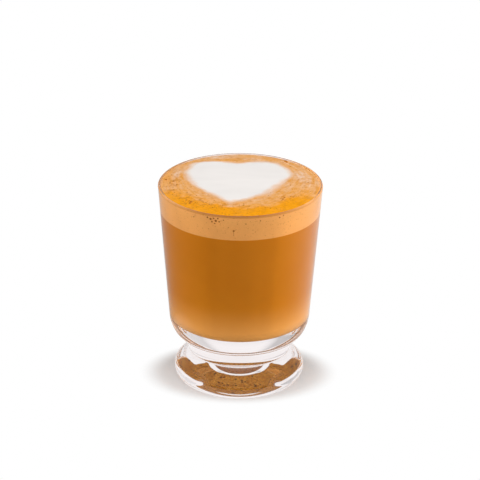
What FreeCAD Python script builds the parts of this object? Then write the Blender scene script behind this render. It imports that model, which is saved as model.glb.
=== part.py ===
"""A cappuccino in its own glass: a heavy pressed-glass tumbler on a foot, filled to the brim.

The glass is one piece of clear pressed glass, turned about Z: a straight tapering bowl with a rounded
rim, a thick bottom that rounds in to a waist, and a bulging foot with a shallow hollow under it.  In it
stand, one on the other, the milky coffee and the layer of milk foam, which has a brown coffee skin and
swells a little above the rim.  A heart of white milk foam is poured into the foam's top and fills its
own pocket there, flush with the foam around it.

Frame: millimetres, +Z up, Z is the glass's axis, and the origin is the centre of the ring it stands on.
The heart's tip points to -Y, to the drinker.
"""

import FreeCAD
import Part

import math
import os

# ---- Driving dimensions, in millimetres ------------------------------------------------------------

# The bowl, outside
GLASS_HEIGHT = 97.0
RIM_RADIUS = 38.2
BOWL_FOOT_RADIUS = 32.7  # where the straight wall ends
BOWL_FOOT_RISE = 7.2  # of that place above the underside
BOWL_TURN = 16.0  # radius of the long turn under the straight wall
BOWL_CORNER_INSET = 3.2  # of the corner into the underside
BOWL_CORNER = 7.2
UNDERSIDE_RISE = 0.6  # the underside falls this much towards the waist, so that the mould lets go

# The bowl, inside
RIM_WALL = 1.5
RIM_ROUND = 0.7  # of each of the rim's two edges
FLOOR_WALL = 4.2  # the wall's thickness beside the floor
BOTTOM_THICKNESS = 8.2
FLOOR_CORNER = 6.2

# Waist and foot, from the table up
FOOT_HEIGHT = 14.5
WAIST_LENGTH = 6.9
WAIST_RADIUS = 24.0
WAIST_FOOT_FILLET = 1.0
WAIST_TOP_FILLET = 1.6
SHOULDER_OUT = 2.2  # the foot's shoulder stands this far out from the waist
SHOULDER_DROP = 2.6
SHOULDER_ROUND = 2.2
BULGE_OUT = 7.1  # and its bulge this far out from the shoulder, before it is rounded
BULGE_HEIGHT = 4.4
BULGE_ROUND = 5.9
BASE_INSET = 5.6  # the base lies this far in from the bulge
BASE_ROUND = 1.8

# The hollow under the foot: a shallow trough round a low disc
STANDING_RING = 10.8  # width of the flat ring that it stands on
RING_ROUND = 3.6  # of the ring's inner edge
TROUGH_SLOPE_WIDTH = 6.0  # from the ring in to the trough's deepest line
TROUGH_DEPTH = 1.3
TROUGH_ROUND = 3.5
DISC_EDGE_WIDTH = 2.6  # from that line in to the disc
DISC_DEPTH = 0.8  # of the disc over the table
DISC_ROUND = 4.0

# The drink
FOAM_DEPTH = 12.2  # of the foam layer at the wall
FOAM_DROP = 0.3  # the foam meets the glass this much under its rim
FOAM_CROWN = 1.1  # the foam's top stands this much higher in the middle than at the wall
FOAM_SHOULDER = 6.0  # the crown falls to the wall over about this width

# The heart of white milk foam.  Each corner is given by its direction in degrees, counted from +X
# towards +Y, by how far it lies in from the glass, and by how it is rounded
HEART_DEPTH = 4.0  # below the rim's level
HEART_NOTCH = (92.4, 12.8, 7.4)
HEART_RIGHT_LOBE = (65.5, 3.9, 13.0)
HEART_RIGHT_SIDE = (25.3, 8.8, 10.6)
HEART_RIGHT_BELLY = (-51.8, 19.9, 13.0)
HEART_TIP = (-102.0, 14.1, 1.5)
HEART_LEFT_BELLY = (-167.5, 16.3, 12.0)
HEART_LEFT_SIDE = (154.0, 7.3, 14.0)
HEART_LEFT_LOBE = (122.4, 2.4, 8.0)

OUT = "parts"

# ---- Levels ----------------------------------------------------------------------------------------

UNDERSIDE_HEIGHT = FOOT_HEIGHT + WAIST_LENGTH
BOWL_FOOT_HEIGHT = UNDERSIDE_HEIGHT + BOWL_FOOT_RISE
FLOOR_HEIGHT = UNDERSIDE_HEIGHT + BOTTOM_THICKNESS
FOAM_WALL_TOP = GLASS_HEIGHT - FOAM_DROP
FOAM_BOTTOM = FOAM_WALL_TOP - FOAM_DEPTH


# ---- Outlines --------------------------------------------------------------------------------------


def unit(vector):
    """The vector at length 1."""
    return vector * (1.0 / vector.Length)


def rounded_edges(corners, closed):
    """Edges through the corners, each a (point, radius), with a tangent arc where the radius isn't 0.

    Two arcs that need more than the side between them share it, and their radii shrink to fit.
    """
    count = len(corners)
    points = [point for point, radius in corners]
    reach, half, ways = [0.0] * count, [0.0] * count, [None] * count
    for i, (point, radius) in enumerate(corners):
        if radius == 0 or (not closed and i in (0, count - 1)):
            continue
        ways[i] = unit(points[i - 1] - point), unit(points[(i + 1) % count] - point)
        half[i] = ways[i][0].getAngle(ways[i][1]) / 2
        reach[i] = radius / math.tan(half[i])
    share = [1.0] * count
    for i in range(count if closed else count - 1):
        after = (i + 1) % count
        wanted = reach[i] + reach[after]
        side = points[i].distanceToPoint(points[after])
        if wanted > side:
            share[i] = min(share[i], side / wanted)
            share[after] = min(share[after], side / wanted)
    starts, ends, arcs = list(points), list(points), [None] * count
    for i, way in enumerate(ways):
        if way is None:
            continue
        back, ahead = way
        run = reach[i] * share[i]
        radius = run * math.tan(half[i])
        centre = points[i] + unit(back + ahead) * (radius / math.sin(half[i]))
        middle = centre + unit(points[i] - centre) * radius
        starts[i], ends[i] = points[i] + back * run, points[i] + ahead * run
        arcs[i] = Part.Arc(starts[i], middle, ends[i]).toShape()
    edges = []
    for i in range(count):
        if arcs[i] is not None:
            edges.append(arcs[i])
        if i + 1 < count or closed:
            after = starts[(i + 1) % count]
            if ends[i].distanceToPoint(after) > 1e-6:
                edges.append(Part.LineSegment(ends[i], after).toShape())
    return edges


def turned(edges):
    """The solid that a closed outline in the XZ plane makes when it is turned about Z."""
    face = Part.Face(Part.Wire(Part.__sortEdges__(edges)))
    solid = face.revolve(FreeCAD.Vector(0, 0, 0), FreeCAD.Vector(0, 0, 1), 360)
    return solid if solid.Volume > 0 else solid.reversed()


def at(radius, height):
    """A point of a turned outline."""
    return FreeCAD.Vector(radius, 0, height)


def inner_radius(height):
    """The radius of the bowl's straight inner wall at this height."""
    outer_slope = (RIM_RADIUS - BOWL_FOOT_RADIUS) / (GLASS_HEIGHT - BOWL_FOOT_HEIGHT)
    outer_at_floor = RIM_RADIUS - outer_slope * (GLASS_HEIGHT - FLOOR_HEIGHT)
    floor_radius = outer_at_floor - FLOOR_WALL
    rise = (height - FLOOR_HEIGHT) / (GLASS_HEIGHT - FLOOR_HEIGHT)
    return floor_radius + (RIM_RADIUS - RIM_WALL - floor_radius) * rise


# ---- The glass -------------------------------------------------------------------------------------


def glass():
    """The tumbler, pressed and fire-polished in one piece."""
    shoulder_radius = WAIST_RADIUS + SHOULDER_OUT
    bulge_radius = shoulder_radius + BULGE_OUT
    base_radius = bulge_radius - BASE_INSET
    ring_radius = base_radius - STANDING_RING
    trough_radius = ring_radius - TROUGH_SLOPE_WIDTH
    disc_radius = trough_radius - DISC_EDGE_WIDTH
    outline = [
        (at(0, DISC_DEPTH), 0),
        (at(disc_radius, DISC_DEPTH), DISC_ROUND),
        (at(trough_radius, TROUGH_DEPTH), TROUGH_ROUND),
        (at(ring_radius, 0), RING_ROUND),
        (at(base_radius, 0), BASE_ROUND),
        (at(bulge_radius, BULGE_HEIGHT), BULGE_ROUND),
        (at(shoulder_radius, FOOT_HEIGHT - SHOULDER_DROP), SHOULDER_ROUND),
        (at(WAIST_RADIUS, FOOT_HEIGHT), WAIST_FOOT_FILLET),
        (at(WAIST_RADIUS, UNDERSIDE_HEIGHT), WAIST_TOP_FILLET),
        (at(BOWL_FOOT_RADIUS - BOWL_CORNER_INSET, UNDERSIDE_HEIGHT + UNDERSIDE_RISE), BOWL_CORNER),
        (at(BOWL_FOOT_RADIUS, BOWL_FOOT_HEIGHT), BOWL_TURN),
        (at(RIM_RADIUS, GLASS_HEIGHT), RIM_ROUND),
        (at(inner_radius(GLASS_HEIGHT), GLASS_HEIGHT), RIM_ROUND),
        (at(inner_radius(FLOOR_HEIGHT), FLOOR_HEIGHT), FLOOR_CORNER),
        (at(0, FLOOR_HEIGHT), 0),
    ]
    return turned(rounded_edges(outline, closed=True))


# ---- The drink -------------------------------------------------------------------------------------


def coffee():
    """The milky coffee, from the glass's floor up to the foam."""
    outline = [
        (at(0, FLOOR_HEIGHT), 0),
        (at(inner_radius(FLOOR_HEIGHT), FLOOR_HEIGHT), FLOOR_CORNER),
        (at(inner_radius(FOAM_BOTTOM), FOAM_BOTTOM), 0),
        (at(0, FOAM_BOTTOM), 0),
    ]
    return turned(rounded_edges(outline, closed=True))


def whole_foam():
    """The foam layer with its crown, before the heart is poured into it."""
    wall_top = inner_radius(FOAM_WALL_TOP)
    crown = FOAM_WALL_TOP + FOAM_CROWN
    # The crown is nearly flat and falls to the wall in one soft curve.
    rise = Part.BezierCurve()
    rise.setPoles([at(wall_top, FOAM_WALL_TOP), at(wall_top - FOAM_SHOULDER / 2, crown), at(0, crown)])
    outline = [
        (at(0, crown), 0),
        (at(0, FOAM_BOTTOM), 0),
        (at(inner_radius(FOAM_BOTTOM), FOAM_BOTTOM), 0),
        (at(wall_top, FOAM_WALL_TOP), 0),
    ]
    return turned([*rounded_edges(outline, closed=False), rise.toShape()])


def heart_column():
    """An upright column with the heart's outline, from the pocket's floor to well above the foam."""
    right = [HEART_RIGHT_LOBE, HEART_RIGHT_SIDE, HEART_RIGHT_BELLY]
    left = [HEART_LEFT_BELLY, HEART_LEFT_SIDE, HEART_LEFT_LOBE]
    wall, floor = inner_radius(FOAM_WALL_TOP), GLASS_HEIGHT - HEART_DEPTH
    outline = []
    for direction, inset, rounding in [HEART_NOTCH, *right, HEART_TIP, *left]:
        turn = math.radians(direction)
        reach = wall - inset
        corner = FreeCAD.Vector(reach * math.cos(turn), reach * math.sin(turn), floor)
        outline.append((corner, rounding))
    edges = rounded_edges(outline, closed=True)
    face = Part.Face(Part.Wire(Part.__sortEdges__(edges)))
    return face.extrude(FreeCAD.Vector(0, 0, HEART_DEPTH + FOAM_CROWN * 4))


def main():
    """Writes one STEP file for each piece."""
    os.makedirs(OUT, exist_ok=True)
    foam = whole_foam()
    column = heart_column()
    pieces = {
        "glass": glass(),
        "coffee": coffee(),
        "foam": foam.cut(column),
        "milk_heart": foam.common(column),
    }
    for name, shape in pieces.items():
        solid = shape.Solids[0]
        solid.exportStep(os.path.join(OUT, name + ".step"))
        box = solid.BoundBox
        print(f"{name}: {len(shape.Solids)} solid, valid {solid.isValid()}, {solid.Volume / 1000:.1f} cm3,")
        print(f"    x {box.XMin:.2f} to {box.XMax:.2f}, z {box.ZMin:.2f} to {box.ZMax:.2f}")


main()
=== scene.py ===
"""A cappuccino in its footed glass: clear pressed glass, milky coffee, milk foam and a poured heart."""

import math
import random

import bmesh
import bpy
from mathutils import Matrix, Vector, noise


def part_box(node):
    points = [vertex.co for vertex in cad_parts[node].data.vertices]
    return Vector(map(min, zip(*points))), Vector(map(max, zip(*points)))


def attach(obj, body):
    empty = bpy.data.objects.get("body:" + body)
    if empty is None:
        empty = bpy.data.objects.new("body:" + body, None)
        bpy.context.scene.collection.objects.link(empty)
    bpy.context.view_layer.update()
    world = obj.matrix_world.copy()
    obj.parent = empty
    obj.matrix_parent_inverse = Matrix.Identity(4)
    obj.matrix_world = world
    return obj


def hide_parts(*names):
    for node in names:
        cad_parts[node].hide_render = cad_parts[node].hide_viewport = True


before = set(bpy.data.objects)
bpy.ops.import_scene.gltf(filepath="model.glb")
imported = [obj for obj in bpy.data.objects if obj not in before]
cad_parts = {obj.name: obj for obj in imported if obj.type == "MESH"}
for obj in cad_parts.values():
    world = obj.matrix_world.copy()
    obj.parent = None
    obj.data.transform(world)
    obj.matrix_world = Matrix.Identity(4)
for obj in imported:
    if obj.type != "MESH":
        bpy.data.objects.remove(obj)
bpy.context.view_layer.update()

# ---- The glass -------------------------------------------------------------------------------------
# A heavy tumbler of clear soda-lime glass on a foot, pressed and fire-polished in one piece, so that it
# has no sharp edge anywhere. Its outline is drawn once and turned about the upright axis.

MM = 0.001
GLASS_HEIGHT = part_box("glass")[1][2] / MM
RIM_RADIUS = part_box("glass")[1][0] / MM
RIM_WALL = 1.5
RIM_ROUND = 0.7
BOWL_FOOT_RADIUS = 32.7
BOWL_FOOT_HEIGHT = 28.6
BOWL_TURN = 16.0
BOWL_CORNER_RADIUS = 29.5
BOWL_CORNER = 7.2
UNDERSIDE_HEIGHT = 21.4
UNDERSIDE_RISE = 0.6
WAIST_RADIUS = 24.0
WAIST_FOOT_FILLET = 1.0
WAIST_TOP_FILLET = 1.6
FOOT_HEIGHT = 14.5
SHOULDER_RADIUS = 26.2
SHOULDER_HEIGHT = 11.9
SHOULDER_ROUND = 2.2
BULGE_RADIUS = 33.3
BULGE_HEIGHT = 4.4
BULGE_ROUND = 5.9
BASE_RADIUS = 27.7
BASE_ROUND = 1.8
RING_RADIUS = 16.9
RING_ROUND = 3.6
TROUGH_RADIUS = 10.9
TROUGH_DEPTH = 1.3
TROUGH_ROUND = 3.5
DISC_RADIUS = 8.3
DISC_DEPTH = 0.8
DISC_ROUND = 4.0
FLOOR_HEIGHT = 29.6
FLOOR_WALL = 4.2
FLOOR_CORNER = 6.2
GLASS_STEPS = 180
SAME_PLACE = 1e-6
NO_LENGTH = 1e-7
GLASS_TINT = (0.915, 0.862, 0.866, 1)
PALER_TINT = (0.935, 0.885, 0.888, 1)
SHADOW_TINT = (0.97, 0.965, 0.97, 1)


def inner_radius(height):
    """The radius of the bowl's straight inner wall at this height."""
    slope = (RIM_RADIUS - BOWL_FOOT_RADIUS) / (GLASS_HEIGHT - BOWL_FOOT_HEIGHT)
    floor_radius = RIM_RADIUS - slope * (GLASS_HEIGHT - FLOOR_HEIGHT) - FLOOR_WALL
    rise = (height - FLOOR_HEIGHT) / (GLASS_HEIGHT - FLOOR_HEIGHT)
    return floor_radius + (RIM_RADIUS - RIM_WALL - floor_radius) * rise


def draw_outline(shape, corners, arc_step=math.radians(3), ease=0.25):
    """Draws edges through corners of (radius, height, rounding): straight runs, and a spun arc at each.

    Each straight run has a short piece at both ends, which keeps the shading of the run itself flat.
    """
    places = [Vector((radius, 0, height)) * MM for radius, height, rounding in corners]
    pen = shape.verts.new(places[0])
    for i in range(1, len(corners)):
        rounding = corners[i][2] * MM
        start = places[i]
        if rounding:
            back = (places[i - 1] - places[i]).normalized()
            ahead = (places[i + 1] - places[i]).normalized()
            half = back.angle(ahead) / 2
            start = places[i] + back * rounding / math.tan(half)
            centre = places[i] + (back + ahead).normalized() * rounding / math.sin(half)
        run = start - pen.co
        stops = [start]
        if run.length > 4 * ease * MM:
            short = run.normalized() * ease * MM
            stops = [pen.co + short, start - short, start]
        for stop in stops:
            if (stop - pen.co).length > NO_LENGTH:
                drawn = bmesh.ops.extrude_vert_indiv(shape, verts=[pen])
                pen = drawn["verts"][0]
                pen.co = stop
        if rounding:
            angle = math.pi - 2 * half
            side = back.cross(ahead)
            steps = max(4, round(angle / arc_step))
            turned = bmesh.ops.spin(
                shape, geom=[pen], cent=centre, axis=-side.normalized(), angle=angle, steps=steps
            )
            pen = [piece for piece in turned["geom_last"] if isinstance(piece, bmesh.types.BMVert)][0]


def turn(shape, steps):
    """Turns the drawn outline all the way round Z and closes its poles."""
    bmesh.ops.spin(
        shape,
        geom=shape.verts[:] + shape.edges[:],
        cent=(0, 0, 0),
        axis=(0, 0, 1),
        angle=math.tau,
        steps=steps,
        use_merge=True,
    )
    bmesh.ops.remove_doubles(shape, verts=shape.verts[:], dist=SAME_PLACE)
    bmesh.ops.recalc_face_normals(shape, faces=shape.faces[:])


def finished(name, shape, material):
    """The object that the shape makes, smooth-shaded, in its material."""
    mesh = bpy.data.meshes.new(name)
    shape.to_mesh(mesh)
    shape.free()
    for face in mesh.polygons:
        face.use_smooth = True
    mesh.materials.append(material)
    piece = bpy.data.objects.new(name, mesh)
    bpy.context.scene.collection.objects.link(piece)
    return piece


def new_tree(name):
    """A new material and its empty node tree."""
    material = bpy.data.materials.new(name)
    material.use_nodes = True
    material.node_tree.nodes.clear()
    return material, material.node_tree


def add(tree, kind, inputs=(), **settings):
    """Adds a shader node: a socket given as an input is linked, any other value is set."""
    node = tree.nodes.new("ShaderNode" + kind)
    for name, value in settings.items():
        setattr(node, name, value)
    for name, value in dict(inputs).items():
        if isinstance(value, bpy.types.NodeSocket):
            tree.links.new(value, node.inputs[name])
        else:
            node.inputs[name].default_value = value
    return node


def calc(tree, operation, *values, **settings):
    """Works out one number from others, sockets or plain, and gives its socket."""
    return add(tree, "Math", dict(enumerate(values)), operation=operation, **settings).outputs[0]


def ramp(tree, value, low, high, start=0.0, end=1.0, kind="LINEAR"):
    """Turns a value from the range low to high into one from start to end, held at both."""
    limits = {"Value": value, "From Min": low, "From Max": high, "To Min": start, "To Max": end}
    return add(tree, "MapRange", limits, interpolation_type=kind).outputs[0]


def blend(tree, amount, first, second):
    """Mixes two colours: the first where the amount is 0, the second where it is 1."""
    return add(tree, "Mix", {0: amount, 6: first, 7: second}, data_type="RGBA").outputs[2]


material, tree = new_tree("clear glass")
waves = add(tree, "TexNoise", {"Vector": add(tree, "TexCoord").outputs["Object"], "Scale": 40.0})
tint = blend(tree, waves.outputs["Fac"], GLASS_TINT, PALER_TINT)
solid = {"Base Color": tint, "Roughness": 0.0, "IOR": 1.5, "Transmission Weight": 1.0}
body = add(tree, "BsdfPrincipled", solid)
passing = add(tree, "BsdfTransparent", {"Color": SHADOW_TINT})
shadow = add(tree, "LightPath").outputs["Is Shadow Ray"]
either = add(tree, "MixShader", {0: shadow, 1: body.outputs[0], 2: passing.outputs[0]})
add(tree, "OutputMaterial", {"Surface": either.outputs[0]})
clear_glass = material

shape = bmesh.new()
draw_outline(
    shape,
    [
        (0, DISC_DEPTH, 0),
        (DISC_RADIUS, DISC_DEPTH, DISC_ROUND),
        (TROUGH_RADIUS, TROUGH_DEPTH, TROUGH_ROUND),
        (RING_RADIUS, 0, RING_ROUND),
        (BASE_RADIUS, 0, BASE_ROUND),
        (BULGE_RADIUS, BULGE_HEIGHT, BULGE_ROUND),
        (SHOULDER_RADIUS, SHOULDER_HEIGHT, SHOULDER_ROUND),
        (WAIST_RADIUS, FOOT_HEIGHT, WAIST_FOOT_FILLET),
        (WAIST_RADIUS, UNDERSIDE_HEIGHT, WAIST_TOP_FILLET),
        (BOWL_CORNER_RADIUS, UNDERSIDE_HEIGHT + UNDERSIDE_RISE, BOWL_CORNER),
        (BOWL_FOOT_RADIUS, BOWL_FOOT_HEIGHT, BOWL_TURN),
        (RIM_RADIUS, GLASS_HEIGHT, RIM_ROUND),
        (inner_radius(GLASS_HEIGHT), GLASS_HEIGHT, RIM_ROUND),
        (inner_radius(FLOOR_HEIGHT), FLOOR_HEIGHT, FLOOR_CORNER),
        (0, FLOOR_HEIGHT, 0),
    ],
)
turn(shape, GLASS_STEPS)
tumbler = finished("tumbler", shape, clear_glass)
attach(tumbler, "root")
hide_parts("glass")

# ---- The coffee ------------------------------------------------------------------------------------
# Espresso and hot milk, stirred to an opaque caramel brown. It fills the bowl up to the foam and wets
# the glass, so its side reaches just into the wall.

FOAM_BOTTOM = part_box("coffee")[1][2] / MM
WETTING = 0.15
# Between the next two heights the coffee turns paler towards the foot: painted light from below.
BELOW_LIGHT_FROM = 50.0
BELOW_LIGHT_TO = 26.0
COFFEE = (0.52, 0.180, 0.006, 1)
PALER_COFFEE = (0.60, 0.225, 0.012, 1)
# The paler colour of that painted light from below.
COFFEE_LIT_FROM_BELOW = (0.88, 0.43, 0.110, 1)
LEES = (0.52, 0.175, 0.008, 1)
PALER_LEES = (0.84, 0.37, 0.045, 1)
GROUNDS = (0.09, 0.028, 0.006, 1)

material, tree = new_tree("milky coffee")
place = add(tree, "TexCoord").outputs["Object"]
clouds = add(tree, "TexNoise", {"Vector": place, "Scale": 45.0, "Detail": 3.0, "Roughness": 0.6})
colour = blend(tree, clouds.outputs["Fac"], COFFEE, PALER_COFFEE)
# Paler towards the foot: painted light from the table below. Coffee grounds freckle the floor.
high = add(tree, "SeparateXYZ", {0: place}).outputs["Z"]
milky_and_lit_from_below = ramp(tree, high, BELOW_LIGHT_FROM * MM, BELOW_LIGHT_TO * MM, kind="SMOOTHSTEP")
colour = blend(tree, milky_and_lit_from_below, colour, COFFEE_LIT_FROM_BELOW)
under = add(tree, "SeparateXYZ", {0: add(tree, "NewGeometry").outputs["Normal"]}).outputs["Z"]
under = ramp(tree, under, -0.90, -0.97)
mottle = add(tree, "TexNoise", {"Vector": place, "Scale": 380.0, "Detail": 3.0, "Roughness": 0.65})
mottle = ramp(tree, mottle.outputs["Fac"], 0.35, 0.65)
lees = blend(tree, mottle, LEES, PALER_LEES)
grounds = add(tree, "TexVoronoi", {"Vector": place, "Scale": 420.0})
grounds = ramp(tree, grounds.outputs["Distance"], 0.30, 0.18)
lees = blend(tree, grounds, lees, GROUNDS)
colour = blend(tree, under, colour, lees)
wet = {"Base Color": colour, "Roughness": 0.5, "Specular IOR Level": 0.05}
add(tree, "OutputMaterial", {"Surface": add(tree, "BsdfPrincipled", wet).outputs[0]})
milky_coffee = material

shape = bmesh.new()
floor_level = FLOOR_HEIGHT - WETTING
draw_outline(
    shape,
    [
        (0, floor_level, 0),
        (inner_radius(floor_level) + WETTING, floor_level, FLOOR_CORNER),
        (inner_radius(FOAM_BOTTOM) + WETTING, FOAM_BOTTOM, 0),
        (0, FOAM_BOTTOM, 0),
    ],
)
turn(shape, GLASS_STEPS)
coffee = finished("milky_coffee", shape, milky_coffee)
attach(coffee, "root")
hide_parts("coffee")

# ---- The milk foam ---------------------------------------------------------------------------------
# The layer of steamed milk foam on the coffee, of one piece. Its top is stained by the coffee that came
# up through it: a tan skin in rings round the heart, with strong amber coffee along the near rim, swept
# there as the heart was poured. The pocket that the heart fills is cut out of it.

FOAM_WALL_TOP = GLASS_HEIGHT - 0.3
FOAM_CROWN = 0.95
FOAM_SHOULDER = 6.0
FOAM_STEPS = 256
RING_STEP = 0.55
RELIEF = 0.16
POCKET_FLOOR = 93.0
COLUMN_HEIGHT = 8.0
HEART_STEP = 0.7
MASKS = ("heart", "across", "amber", "milk", "pits")

FOAM_SIDE = (0.88, 0.455, 0.135, 1)
FOAM_DOT = (0.36, 0.14, 0.02, 1)
BRIM_LINE = (0.42, 0.12, 0.002, 1)
BRIM_FROM = 95.6
BRIM_TO = 96.3
TAN = (0.830, 0.392, 0.100, 1)
AMBER = (0.90, 0.350, 0.001, 1)
MILK = (0.890, 0.850, 0.820, 1)
DARK = (0.41, 0.100, 0.003, 1)
EDGE_WIDTH = 2.1

# Soft spots on the top, each of a strength, a centre, a length, a width and a turn in degrees.
EDGE_SPOTS = [
    (-1.6, (-5.0, -25.0), 4.0, 3.0),
    (-1.5, (-23.0, 23.5), 6.0),
    (1.5, (19.5, -13.0), 8.0, 4.0, 55),
    (1.2, (-14.0, 27.5), 12.0, 2.5, 4),
]
BLUR_SPOTS = [
    (1.1, (16.0, -9.0), 14.0, 7.0, 60),
    (0.7, (-3.0, -23.0), 7.0),
    (0.5, (-22.0, 5.0), 14.0, 8.0, 80),
]
FRONT_SPOTS = [(1.0, (-8, -31), 9.0), (1.0, (10, -32), 8.0), (1.0, (25, -25), 8.0)]
AMBER_SPOTS = [
    (0.75, (-31.5, -11.5), 5.0, 3.0, -60),
    (0.80, (-23.0, -22.5), 5.5, 3.0, -40),
    (0.45, (21.5, -16.5), 6.0, 3.2, 35),
    (0.40, (-34.0, 6.0), 13.0, 4.5, 82),
]
MILK_SPOTS = [
    (0.55, (-30.0, 9.5), 7.0, 2.6, 75),
    (0.75, (-25.5, -16.5), 4.0, 2.0, -40),
    (0.55, (-5.0, -27.5), 3.5, 2.4, 70),
    (0.5, (-10.0, 33.0), 14.0, 4.5, 8),
    (0.5, (6.0, 29.5), 7.0, 2.2, -5),
    (0.45, (29.0, 8.0), 12.0, 5.0, -75),
    (0.35, (-17.0, -21.0), 4.0, 1.6, -30),
]
PIT_SPOTS = [
    (0.8, (-21.0, -21.0), 13.0, 7.0, -40),
    (0.7, (21.0, -17.0), 9.0, 5.0, 30),
    (0.7, (-31.0, -3.0), 13.0, 5.0, 85),
    (0.55, (-6.0, -26.0), 16.0, 6.0, -8),
]


def smooth(low, high, value):
    """0 below low, 1 above high, and a soft step between them."""
    step = min(1.0, max(0.0, (value - low) / (high - low)))
    return step * step * (3 - 2 * step)


def spot(x, y, centre, across, along=None, turn=0.0):
    """1 in the middle of a soft oval spot, 0 beyond its edge."""
    dx, dy = x - centre[0], y - centre[1]
    cos, sin = math.cos(math.radians(turn)), math.sin(math.radians(turn))
    u, v = (dx * cos + dy * sin) / across, (dy * cos - dx * sin) / (along or across)
    return 1 - smooth(0.2, 1.0, math.hypot(u, v))


def spots(x, y, places):
    """The strength of each soft spot of a list at this place."""
    return [strength * spot(x, y, *place) for strength, *place in places]


def heart_outline():
    """The edge of the heart's pocket, as the floor of the CAD pocket gives it, in millimetres."""
    shape = bmesh.new()
    shape.from_mesh(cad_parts["milk_heart"].data)
    bmesh.ops.remove_doubles(shape, verts=shape.verts[:], dist=SAME_PLACE)
    low = min(vert.co.z for vert in shape.verts)
    above = [face for face in shape.faces if max(vert.co.z for vert in face.verts) > low + 1e-5]
    bmesh.ops.delete(shape, geom=above, context="FACES")
    edges = [edge for edge in shape.edges if edge.is_boundary]
    vert = edges[0].verts[0]
    edge = edges[0]
    loop = []
    while not loop or vert.index != loop[0].index:
        loop.append(vert)
        vert = edge.other_vert(vert)
        edge = [near for near in vert.link_edges if near.is_boundary and near != edge][0]
    kept = []
    for vert in loop:
        if not kept or (vert.co.xy / MM - kept[-1]).length > HEART_STEP:
            kept.append(vert.co.xy / MM)
    return kept


HEART = heart_outline()


def heart_distance(x, y):
    """How far a place on the top lies outside the heart's edge, in millimetres; negative inside it."""
    place = Vector((x, y))
    nearest, inside = math.inf, False
    for start, end in zip(HEART, HEART[1:] + HEART[:1]):
        side = end - start
        along = min(1.0, max(0.0, (place - start).dot(side) / side.length_squared))
        nearest = min(nearest, (place - start - side * along).length)
        if (start.y > y) != (end.y > y) and x < start.x + (y - start.y) / side.y * side.x:
            inside = not inside
    return -nearest if inside else nearest


def crown_height(radius):
    """The height of the foam's smooth top: nearly flat, and falling in one curve to the wall."""
    wall = inner_radius(FOAM_WALL_TOP) + WETTING
    low, high = 0.0, 1.0
    for _ in range(30):
        t = (low + high) / 2
        if wall * (1 - t) ** 2 + 2 * t * (1 - t) * (wall - FOAM_SHOULDER / 2) > radius:
            low = t
        else:
            high = t
    return FOAM_WALL_TOP + FOAM_CROWN * (1 - (1 - low) ** 2)


def relief(x, y, heart, across):
    """How far the foam's skin lies under its smooth top: shallow swirls outside the heart."""
    radius = math.hypot(x, y) or 1.0
    turned = Vector((x / radius * 1.6, y / radius * 1.6, across * 5.0))
    swirl = noise.noise(turned) * 0.5 + noise.noise(turned * 2.3 + Vector((4, 1, 7))) * 0.3
    dimples = noise.noise(Vector((x * 0.45, y * 0.45, 2.0))) * 0.35
    calm = noise.noise(Vector((x * 0.09, y * 0.09, 5.0))) * 0.5
    outside = smooth(-2.0, 1.5, heart)
    edge = math.exp(-((heart - 0.6) ** 2) / 1.6) * 0.35
    return RELIEF * (0.62 + (swirl + dimples) * outside * 0.9 + calm * (1 - outside) * 0.6 + edge)


def drift(x, y, size, layer):
    """Smooth noise from about -1 to 1 with waves of about this size, in millimetres."""
    return noise.noise(Vector((x / size, y / size, layer * 3.7))) * 1.4


def painted_edge(x, y, heart):
    """Distance outside the heart's painted edge: wavier than the pocket's, and blurred in places."""
    edge = heart + drift(x, y, 9.0, 1) * 0.9 + drift(x, y, 3.2, 2) * 0.45
    return (edge + sum(spots(x, y, EDGE_SPOTS))) / (1 + sum(spots(x, y, BLUR_SPOTS)))


def stains(x, y, rim, heart):
    """How much strong coffee, pale milk and open pits the skin has at a place."""
    bearing = abs(math.degrees(math.atan2(x + 1.0, -y)))
    wave = drift(x, y, 8.0, 3) * 2.2 + drift(x, y, 3.0, 4) * 1.1
    front = 1 - smooth(56, 86, bearing + wave * 3)
    amber = front * smooth(11.5, 6.0, rim + wave)
    amber *= 0.84 + 0.16 * max(spots(x, y, FRONT_SPOTS))
    veil = 0.36 * smooth(95, 40, bearing) * smooth(17.0, 6.0, rim + wave * 1.5)
    amber = max([amber, veil] + spots(x, y, AMBER_SPOTS))
    milk = sum(spots(x, y, MILK_SPOTS))
    pits = 0.16 + sum(spots(x, y, PIT_SPOTS))
    return min(1.0, amber), min(1.0, milk), min(1.0, pits) * smooth(0.5, 3.0, heart)


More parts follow.
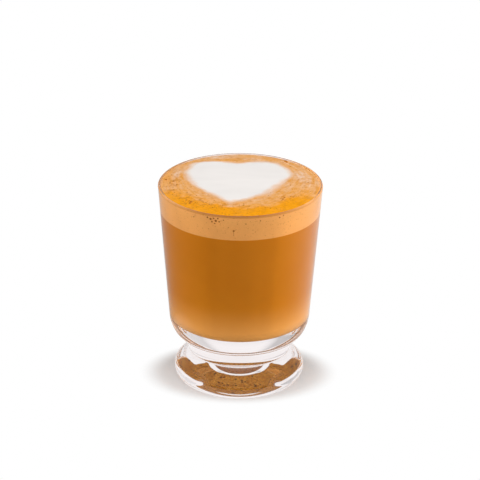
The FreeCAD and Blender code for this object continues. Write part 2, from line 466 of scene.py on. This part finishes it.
def foam_body(name, keep_heart):
    """The displaced foam layer, less the heart's column or only inside it, with its painted masks."""
    wall = inner_radius(FOAM_WALL_TOP) + WETTING
    rings = round(wall / RING_STEP)
    corners = [(0, FOAM_BOTTOM, 0), (inner_radius(FOAM_BOTTOM) + WETTING, FOAM_BOTTOM, 0)]
    for ring in range(rings, -1, -1):
        radius = wall * ring / rings
        corners.append((radius, crown_height(radius), 0))
    shape = bmesh.new()
    draw_outline(shape, corners)
    turn(shape, FOAM_STEPS)
    piece = finished(name, shape, None)
    top = (FOAM_BOTTOM + 1) * MM
    for word in MASKS:
        piece.data.attributes.new(word, "FLOAT", "POINT")
    masks = {word: piece.data.attributes[word] for word in MASKS}
    for vert in piece.data.vertices:
        x, y = vert.co.x / MM, vert.co.y / MM
        radius = math.hypot(x, y)
        heart = heart_distance(x, y)
        rim = wall - radius
        across = heart / max(heart + rim, 0.1)
        if vert.co.z > top:
            sink = relief(x, y, heart, across) * smooth(0.0, 2.5, rim)
            vert.co.z -= sink * MM
        values = {"across": across, "heart": painted_edge(x, y, heart)}
        values["amber"], values["milk"], values["pits"] = stains(x, y, rim, heart)
        for word, value in values.items():
            masks[word].data[vert.index].value = value
    column = bmesh.new()
    edge = [column.verts.new((x * MM, y * MM, POCKET_FLOOR * MM)) for x, y in HEART]
    base = column.faces.new(edge)
    raised = bmesh.ops.extrude_face_region(column, geom=[base])
    lifted = [part for part in raised["geom"] if isinstance(part, bmesh.types.BMVert)]
    bmesh.ops.translate(column, verts=lifted, vec=(0, 0, COLUMN_HEIGHT * MM))
    bmesh.ops.recalc_face_normals(column, faces=column.faces[:])
    cutter = finished("heart_column", column, None)
    cut = piece.modifiers.new("pocket", "BOOLEAN")
    cut.operation = "INTERSECT" if keep_heart else "DIFFERENCE"
    cut.object = cutter
    cut.solver = "EXACT"
    bpy.context.view_layer.objects.active = piece
    bpy.ops.object.modifier_apply(modifier=cut.name)
    bpy.data.objects.remove(cutter)
    piece.data.set_sharp_from_angle(angle=math.radians(35))
    return piece


def crema_skin():
    """The shader group that both kinds of foam share: the colour and relief of the top's skin."""
    group = bpy.data.node_groups.new("Crema skin", "ShaderNodeTree")
    for name in ("Tan", "Amber", "Milk", "Dark"):
        group.interface.new_socket(name, in_out="INPUT", socket_type="NodeSocketColor")
    group.interface.new_socket("Edge Width", in_out="INPUT", socket_type="NodeSocketFloat")
    group.interface.new_socket("Color", in_out="OUTPUT", socket_type="NodeSocketColor")
    group.interface.new_socket("Height", in_out="OUTPUT", socket_type="NodeSocketFloat")
    given = group.nodes.new("NodeGroupInput")
    result = group.nodes.new("NodeGroupOutput")
    place = add(group, "TexCoord").outputs["Object"]
    masks = [add(group, "Attribute", attribute_name=word).outputs["Fac"] for word in MASKS]
    heart, across, amber, milk, pits = masks
    tan, strong_coffee, white_milk, burnt = list(given.outputs)[:4]
    edge_width = given.outputs["Edge Width"]

    # Rings: noise that is long round the glass and fine across it.
    flat = add(group, "VectorMath", {0: place, 1: (1, 1, 0)}, operation="MULTIPLY")
    way = add(group, "VectorMath", {0: flat.outputs[0]}, operation="NORMALIZE")
    ring = add(group, "SeparateXYZ", {0: way.outputs[0]})
    rise = calc(group, "MULTIPLY", across, 5.0)
    swirl = add(group, "CombineXYZ", {0: ring.outputs[0], 1: ring.outputs[1], 2: rise}).outputs[0]
    streaks = add(group, "TexNoise", {"Vector": swirl, "Scale": 2.4, "Detail": 5.0, "Roughness": 0.62})
    clouds = add(group, "TexNoise", {"Vector": place, "Scale": 160.0, "Detail": 4.0, "Roughness": 0.6})
    grain = add(group, "TexNoise", {"Vector": place, "Scale": 1500.0, "Detail": 3.0, "Roughness": 0.7})
    wisps = add(group, "TexNoise", {"Vector": place, "Scale": 420.0, "Detail": 4.0, "Roughness": 0.65})

    # The skin's colour: tan, paler where milk came up, amber where the coffee was swept.
    pale = ramp(group, streaks.outputs["Fac"], 0.46, 0.75)
    cloudy = ramp(group, clouds.outputs["Fac"], 0.45, 0.75)
    lift = calc(group, "MULTIPLY", pale, 0.20)
    lift = calc(group, "MULTIPLY_ADD", cloudy, 0.14, lift)
    broken = ramp(group, wisps.outputs["Fac"], 0.30, 0.62)
    patch = calc(group, "MULTIPLY_ADD", broken, 0.5, 0.35)
    patch = calc(group, "MULTIPLY", milk, patch)
    lift = calc(group, "MULTIPLY_ADD", patch, 0.8, lift, use_clamp=True)
    skin = blend(group, lift, tan, white_milk)
    strong = ramp(group, streaks.outputs["Fac"], 0.54, 0.30)
    strong = calc(group, "MULTIPLY", strong, 0.30)
    swept = calc(group, "MULTIPLY_ADD", broken, 0.40, 0.92)
    swept = calc(group, "MULTIPLY", amber, swept, use_clamp=True)
    strong = calc(group, "MAXIMUM", strong, swept)
    skin = blend(group, strong, skin, strong_coffee)
    speckle = ramp(group, grain.outputs["Fac"], 0.52, 0.30, 0.0, 0.30)
    skin = blend(group, speckle, skin, burnt)

    stain = ramp(group, wisps.outputs["Fac"], 0.50, 0.38)
    stain = calc(group, "MULTIPLY", stain, pits)
    stain = calc(group, "MULTIPLY", stain, 0.42)
    skin = blend(group, stain, skin, burnt)

    # Small paler and browner patches everywhere, half of them combed out along the rings.
    combed = add(group, "TexNoise", {"Vector": swirl, "Scale": 5.5, "Detail": 4.0, "Roughness": 0.6})
    uneven = calc(group, "ADD", combed.outputs["Fac"], wisps.outputs["Fac"])
    uneven = calc(group, "MULTIPLY", uneven, 0.5)
    paler = ramp(group, uneven, 0.50, 0.66, 0.0, 0.22)
    less = calc(group, "SUBTRACT", 1.0, amber, use_clamp=True)
    paler = calc(group, "MULTIPLY", paler, less)
    skin = blend(group, paler, skin, white_milk)
    browner = ramp(group, uneven, 0.50, 0.36, 0.0, 0.50)
    deep = blend(group, 0.5, strong_coffee, burnt)
    skin = blend(group, browner, skin, deep)

    # Open pits: small dark dots of uneven size, thicker where the mask says.
    cells = add(group, "TexVoronoi", {"Vector": place, "Scale": 620.0})
    pick = add(group, "SeparateXYZ", {0: cells.outputs["Color"]})
    size = ramp(group, pick.outputs[0], 0.0, 1.0, 0.10, 0.26)
    dot = calc(group, "SUBTRACT", size, cells.outputs["Distance"])
    dot = ramp(group, dot, 0.0, 0.07)
    chosen = calc(group, "LESS_THAN", pick.outputs[1], pits)
    dot = calc(group, "MULTIPLY", dot, chosen)
    dark = calc(group, "MULTIPLY", dot, 0.8)
    skin = blend(group, dark, skin, burnt)

    # The heart fades into the skin over a soft, slightly ragged edge; faint folds cross it as painted
    # shade.
    ragged = calc(group, "SUBTRACT", wisps.outputs["Fac"], 0.5)
    ragged = calc(group, "MULTIPLY_ADD", ragged, 2.0, heart)
    outer = calc(group, "MULTIPLY", edge_width, -1.0)
    white = ramp(group, ragged, edge_width, outer, kind="SMOOTHSTEP")
    # Darker stripes across the heart: painted shade in the folds of its foam.
    stretched = {"Vector": place, "Rotation": (0, 0, 0.3), "Scale": (22.0, 75.0, 1.0)}
    stretched = add(group, "Mapping", stretched).outputs[0]
    fold_shade = add(group, "TexNoise", {"Vector": stretched, "Scale": 1.0, "Detail": 2.0, "Distortion": 0.6})
    fold_shade = ramp(group, fold_shade.outputs["Fac"], 0.4, 0.7, 1.0, 0.95)
    shaded_cream = add(group, "VectorMath", {0: white_milk, 3: fold_shade}, operation="SCALE")
    colour = blend(group, white, skin, shaded_cream.outputs[0])
    rough = calc(group, "MULTIPLY", grain.outputs["Fac"], 0.4)
    height = calc(group, "MULTIPLY_ADD", streaks.outputs["Fac"], 1.0, rough)
    height = calc(group, "MULTIPLY_ADD", dot, -0.25, height)
    keep = ramp(group, white, 0.0, 1.0, 1.0, 0.12)
    height = calc(group, "MULTIPLY", height, keep)
    group.links.new(colour, result.inputs["Color"])
    group.links.new(height, result.inputs["Height"])
    return group


CREMA_SKIN = crema_skin()


def foam_material(name, side):
    """The foam's material: the crema skin on top, and the even tan of the layer seen from the side."""
    material, tree = new_tree(name)
    skin = tree.nodes.new("ShaderNodeGroup")
    skin.node_tree = CREMA_SKIN
    painted = {"Tan": TAN, "Amber": AMBER, "Milk": MILK, "Dark": DARK, "Edge Width": EDGE_WIDTH}
    for socket, value in painted.items():
        skin.inputs[socket].default_value = value
    place = add(tree, "TexCoord").outputs["Object"]
    high = add(tree, "SeparateXYZ", {0: place}).outputs["Z"]
    fine = add(tree, "TexNoise", {"Vector": place, "Scale": 700.0, "Detail": 3.0, "Roughness": 0.7})
    drift = add(tree, "TexNoise", {"Vector": place, "Scale": 60.0, "Detail": 2.0})
    both = calc(tree, "MULTIPLY_ADD", fine.outputs["Fac"], 0.45, drift.outputs["Fac"])
    shade = ramp(tree, both, 0.45, 1.0)
    darker = tuple(part * 0.86 for part in side[:3]) + (1,)
    layer = blend(tree, shade, darker, side)
    cells = add(tree, "TexVoronoi", {"Vector": place, "Scale": 900.0})
    pick = add(tree, "SeparateXYZ", {0: cells.outputs["Color"]}).outputs[0]
    dots = ramp(tree, cells.outputs["Distance"], 0.30, 0.18, 0.0, 0.35)
    few = calc(tree, "LESS_THAN", pick, 0.3)
    dots = calc(tree, "MULTIPLY", dots, few)
    layer = blend(tree, dots, layer, FOAM_DOT)
    brim = ramp(tree, high, BRIM_FROM * MM, BRIM_TO * MM)
    layer = blend(tree, brim, layer, BRIM_LINE)
    up = add(tree, "NewGeometry").outputs["Normal"]
    up = add(tree, "SeparateXYZ", {0: up}).outputs["Z"]
    top = ramp(tree, up, 0.35, 0.6)
    colour = blend(tree, top, layer, skin.outputs["Color"])
    height = calc(tree, "MULTIPLY", skin.outputs["Height"], top)
    bump = add(tree, "Bump", {"Height": height, "Strength": 0.5, "Distance": 0.00025})
    satin = {"Base Color": colour, "Roughness": 0.5, "Specular IOR Level": 0.1, "Normal": bump.outputs[0]}
    add(tree, "OutputMaterial", {"Surface": add(tree, "BsdfPrincipled", satin).outputs[0]})
    return material


milk_foam = foam_material("milk foam", FOAM_SIDE)
foam = foam_body("milk_foam", keep_heart=False)
foam.data.materials.clear()
foam.data.materials.append(milk_foam)
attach(foam, "root")
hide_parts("foam")

# ---- The heart -------------------------------------------------------------------------------------
# The heart is a pad of fine white milk foam that was poured last. It sits in the brown foam, flush with
# it, and its edge fades into the brown skin over a millimetre or two.

white_foam = foam_material("white milk foam", MILK)
heart = foam_body("poured_heart", keep_heart=True)
heart.data.materials.clear()
heart.data.materials.append(white_foam)
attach(heart, "root")
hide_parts("milk_heart")

# ---- The bubbles in the skin -----------------------------------------------------------------------
# Small burst bubbles that stand in the crema, brown inside; most sit in the strong coffee at the front
# and on the left. Each is a flat dome sunk in the skin.

SKIN_BUBBLES = 190
RIM_CLEARANCE = 0.8
HEART_CLEARANCE = 1.5
SKIN_BUBBLE_RIM = (0.64, 0.26, 0.03, 1)
SKIN_BUBBLE_MIDDLE = (0.36, 0.09, 0.004, 1)

# The largest ones: place and radius.
LARGE_BUBBLES = [
    (21.3, 28.0, 1.0),
    (21.8, 26.6, 0.6),
    (-22.5, -22.0, 0.95),
    (-22.8, -23.4, 0.7),
    (-31.0, 2.0, 0.65),
    (-32.6, 0.2, 0.5),
    (-29.3, -2.0, 0.6),
    (-24.6, -20.0, 0.45),
    (-12.5, -28.0, 0.45),
    (23.0, -15.0, 0.42),
    (19.5, -18.0, 0.5),
    (-30.5, -8.0, 0.45),
    (-34.5, 4.5, 0.7),
    (-32.0, 10.0, 0.4),
    (-14.0, -25.0, 0.4),
]


def bubble(shape, place, up, radius, flatness):
    """One flat dome of this radius about a place, its low axis along up; lengths in millimetres."""
    turned = Vector(up).to_track_quat("Z", "Y").to_matrix().to_4x4()
    size = Matrix.Diagonal((radius * MM, radius * MM, radius * flatness * MM, 1))
    where = Matrix.Translation(Vector(place) * MM)
    layer = shape.verts.layers.float.get("dome") or shape.verts.layers.float.new("dome")
    whole = where @ turned @ size
    made = bmesh.ops.create_uvsphere(shape, u_segments=12, v_segments=6, radius=1.0, matrix=whole)
    ends = Vector(up).normalized()
    for vert in made["verts"]:
        vert[layer] = (vert.co / MM - Vector(place)).dot(ends) / (radius * flatness)


def bubble_material(name, rim, middle):
    """A brown bubble: pale at its edge, dark in the middle."""
    material, tree = new_tree(name)
    dome = add(tree, "Attribute", attribute_name="dome").outputs["Fac"]
    place = add(tree, "TexCoord").outputs["Object"]
    uneven = add(tree, "TexNoise", {"Vector": place, "Scale": 350.0, "Detail": 2.0})
    inward = calc(tree, "MULTIPLY_ADD", uneven.outputs["Fac"], 0.5, dome)
    inward = ramp(tree, inward, 0.7, 1.15)
    colour = blend(tree, inward, rim, middle)
    wet = {"Base Color": colour, "Roughness": 0.4, "Specular IOR Level": 0.08}
    add(tree, "OutputMaterial", {"Surface": add(tree, "BsdfPrincipled", wet).outputs[0]})
    return material


chance = random.Random(11)
wall = inner_radius(FOAM_WALL_TOP) + WETTING
found = list(LARGE_BUBBLES)
while len(found) < SKIN_BUBBLES:
    away, bearing = wall * math.sqrt(chance.random()), math.tau * chance.random()
    x, y = away * math.sin(bearing), -away * math.cos(bearing)
    heart = heart_distance(x, y)
    wanted = stains(x, y, wall - away, heart)[2]
    clear = wall - away > RIM_CLEARANCE and heart > HEART_CLEARANCE
    if clear and chance.random() < wanted:
        found.append((x, y, 0.16 + 0.26 * chance.random() ** 2))
shape = bmesh.new()
for x, y, radius in found:
    away = math.hypot(x, y)
    heart = heart_distance(x, y)
    across = heart / max(heart + wall - away, 0.1)
    level = crown_height(away) - relief(x, y, heart, across) * smooth(0.0, 2.5, wall - away)
    bubble(shape, (x, y, level - 0.1 * radius), (0, 0, 1), radius, 0.45)
skin_bubble = bubble_material("skin bubble", SKIN_BUBBLE_RIM, SKIN_BUBBLE_MIDDLE)
skin_bubbles = finished("skin_bubbles", shape, skin_bubble)
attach(skin_bubbles, "root")

# ---- The bubbles against the glass -----------------------------------------------------------------
# Bubbles of the foam layer that touch the glass: a cluster under the brim, one lower down with a drip
# under it, and a scatter of tiny ones.

WALL_BUBBLES = 150
WALL_BUBBLE_RIM = (0.50, 0.22, 0.06, 1)
WALL_BUBBLE_MIDDLE = (0.24, 0.085, 0.012, 1)

# The cluster, the one with the drip and the larger single ones: place across, height and radius.
LARGE_WALL_BUBBLES = [
    (-14.5, 95.0, 0.45),
    (-13.1, 94.5, 0.55),
    (-11.8, 95.0, 0.42),
    (-10.8, 93.9, 0.6),
    (-9.9, 95.2, 0.4),
    (-12.5, 93.2, 0.45),
    (-11.3, 92.5, 0.34),
    (-9.3, 93.6, 0.4),
    (-7.4, 94.6, 0.3),
    (-2.8, 89.4, 0.5),
    (9.0, 94.3, 0.34),
    (17.5, 94.6, 0.42),
    (19.2, 95.2, 0.32),
    (2.6, 93.0, 0.28),
    (-20.5, 93.8, 0.3),
]
DRIP = [(-2.8, 88.8 - 0.28 * step, 0.13) for step in range(8)]

chance = random.Random(5)
found = LARGE_WALL_BUBBLES + DRIP
while len(found) < WALL_BUBBLES:
    x = -30 + 60 * chance.random()
    level = 86.0 + 9.8 * chance.random() ** 0.6
    found.append((x, level, 0.07 + 0.10 * chance.random() ** 2))
shape = bmesh.new()
for x, level, radius in found:
    away = inner_radius(level) + WETTING
    y = -math.sqrt(away * away - x * x)
    bubble(shape, (x, y, level), (x, y, 0), radius, 0.3)
wall_bubble = bubble_material("wall bubble", WALL_BUBBLE_RIM, WALL_BUBBLE_MIDDLE)
wall_bubbles = finished("wall_bubbles", shape, wall_bubble)
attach(wall_bubbles, "root")

# ---- The table, the lights and the camera ----------------------------------------------------------
# A plain white table in a plain white room: one soft light overhead, a large low one from the right and
# weaker low ones from the left and the front. The lamps themselves are not seen in the glass.

scene = bpy.context.scene
scene.view_settings.view_transform = "Standard"
scene.cycles.max_bounces = 24
scene.cycles.transmission_bounces = 20
scene.cycles.glossy_bounces = 16
scene.cycles.transparent_max_bounces = 16

ROOM_LIGHT = 0.15
ROOM_SHINE = 0.5
TABLE_DROP = 0.3
TABLE_WHITE = (0.74, 0.74, 0.74, 1)
TABLE_GLOW = 0.45
SHADOW_FROM = 35.0
SHADOW_TO = 48.0
SHADOW_DEPTH = 1.4
SIDE_BEARING = 0.8
BACK_BEARING = 2.6
FRONT_SHINE = 0.1
LEFT_SHINE = 0.32
AIM = (0, 0, 0.05)
LENS = 195.03
CAMERA_PLACE = (0, -1.1054, 0.5639)
CAMERA_DOWN = 24.134
CAMERA_ROLL = 0.45

material, tree = new_tree("white table")
path = add(tree, "LightPath")
place = add(tree, "SeparateXYZ", {0: add(tree, "TexCoord").outputs["Object"]})
across = calc(tree, "MULTIPLY", place.outputs["X"], place.outputs["X"])
deep = calc(tree, "MULTIPLY", place.outputs["Y"], SHADOW_DEPTH)
away = calc(tree, "MULTIPLY_ADD", deep, deep, across)
away = calc(tree, "SQRT", away)
lit = add(tree, "BsdfDiffuse", {"Color": TABLE_WHITE})
seen = calc(tree, "MAXIMUM", path.outputs["Is Camera Ray"], path.outputs["Is Transmission Ray"])
glow = calc(tree, "MULTIPLY", path.outputs["Is Transmission Ray"], TABLE_GLOW)
shine = add(tree, "Emission", {"Strength": glow})
near = add(tree, "AddShader", {0: lit.outputs[0], 1: shine.outputs[0]})
far = ramp(tree, away, SHADOW_FROM * MM, SHADOW_TO * MM, kind="SMOOTHSTEP")
far = calc(tree, "MULTIPLY", far, seen)
white = add(tree, "Emission", {"Strength": 1.0})
table_top = add(tree, "MixShader", {0: far, 1: near.outputs[0], 2: white.outputs[0]})

# What the glass mirrors is a painted reflection: for mirrored rays the table glows white close by and
# straight behind, faintly in front, and less on the left than on the right.
back = calc(tree, "MULTIPLY", place.outputs["Y"], -1.0)
bearing = calc(tree, "ARCTAN2", place.outputs["X"], back)
bearing = calc(tree, "ABSOLUTE", bearing)
behind = ramp(tree, bearing, SIDE_BEARING, BACK_BEARING, FRONT_SHINE, 1.0, kind="SMOOTHSTEP")
aside = calc(tree, "DIVIDE", place.outputs["X"], away)
aside = ramp(tree, aside, -1.0, 1.0, LEFT_SHINE, 1.0)
mirrored = calc(tree, "MULTIPLY", behind, aside)
behind = ramp(tree, bearing, 2.65, 3.0, kind="SMOOTHSTEP")
mirrored = calc(tree, "MAXIMUM", behind, mirrored)
close = ramp(tree, away, 0.10, 0.07, kind="SMOOTHSTEP")
mirrored = calc(tree, "MAXIMUM", close, mirrored)
mirror = add(tree, "Emission", {"Strength": mirrored})
both = {0: path.outputs["Is Glossy Ray"], 1: table_top.outputs[0], 2: mirror.outputs[0]}
add(tree, "OutputMaterial", {"Surface": add(tree, "MixShader", both).outputs[0]})
white_table = material
shape = bmesh.new()
bmesh.ops.create_grid(shape, x_segments=1, y_segments=1, size=3.0)
bmesh.ops.translate(shape, verts=shape.verts[:], vec=(0, 0, -TABLE_DROP * MM))
table = finished("table", shape, white_table)

world = bpy.data.worlds.new("white room")
scene.world = world
world.use_nodes = True
tree = world.node_tree
tree.nodes.clear()
path = add(tree, "LightPath")
seen = calc(tree, "MAXIMUM", path.outputs["Is Camera Ray"], path.outputs["Is Transmission Ray"])
glossy = calc(tree, "MULTIPLY", path.outputs["Is Glossy Ray"], ROOM_SHINE)
seen = calc(tree, "MAXIMUM", seen, glossy)
strength = ramp(tree, seen, 0.0, 1.0, ROOM_LIGHT, 1.0)
room = add(tree, "Background", {"Color": (1, 1, 1, 1), "Strength": strength})
add(tree, "OutputWorld", {"Surface": room.outputs[0]})


def softbox(name, place, aim, size, power):
    """An area lamp of this width and length that faces a point."""
    lamp = bpy.data.lights.new(name, "AREA")
    lamp.shape = "RECTANGLE"
    lamp.size, lamp.size_y = size
    lamp.energy = power
    holder = bpy.data.objects.new(name, lamp)
    holder.location = place
    holder.rotation_euler = (Vector(aim) - Vector(place)).to_track_quat("-Z", "Y").to_euler()
    holder.visible_camera = holder.visible_glossy = holder.visible_transmission = False
    scene.collection.objects.link(holder)


softbox("overhead", (0, -0.2, 1.2), (0, 0, 0), (0.4, 0.4), 8.0)
softbox("right", (0.97, -0.15, 0.25), AIM, (0.7, 0.4), 9.0)
softbox("left", (-0.97, -0.15, 0.22), AIM, (0.7, 0.4), 5.5)
softbox("front", (0.05, -1.05, 0.3), AIM, (0.7, 0.5), 3.8)

camera_data = bpy.data.cameras.new("camera")
camera_data.lens = LENS
camera_data.sensor_width = 36
camera = bpy.data.objects.new("camera", camera_data)
camera.location = CAMERA_PLACE
tilt = Matrix.Rotation(math.radians(90 - CAMERA_DOWN), 3, "X")
roll = Matrix.Rotation(math.radians(CAMERA_ROLL), 3, "Z")
camera.rotation_euler = (tilt @ roll).to_euler()
scene.collection.objects.link(camera)
scene.camera = camera
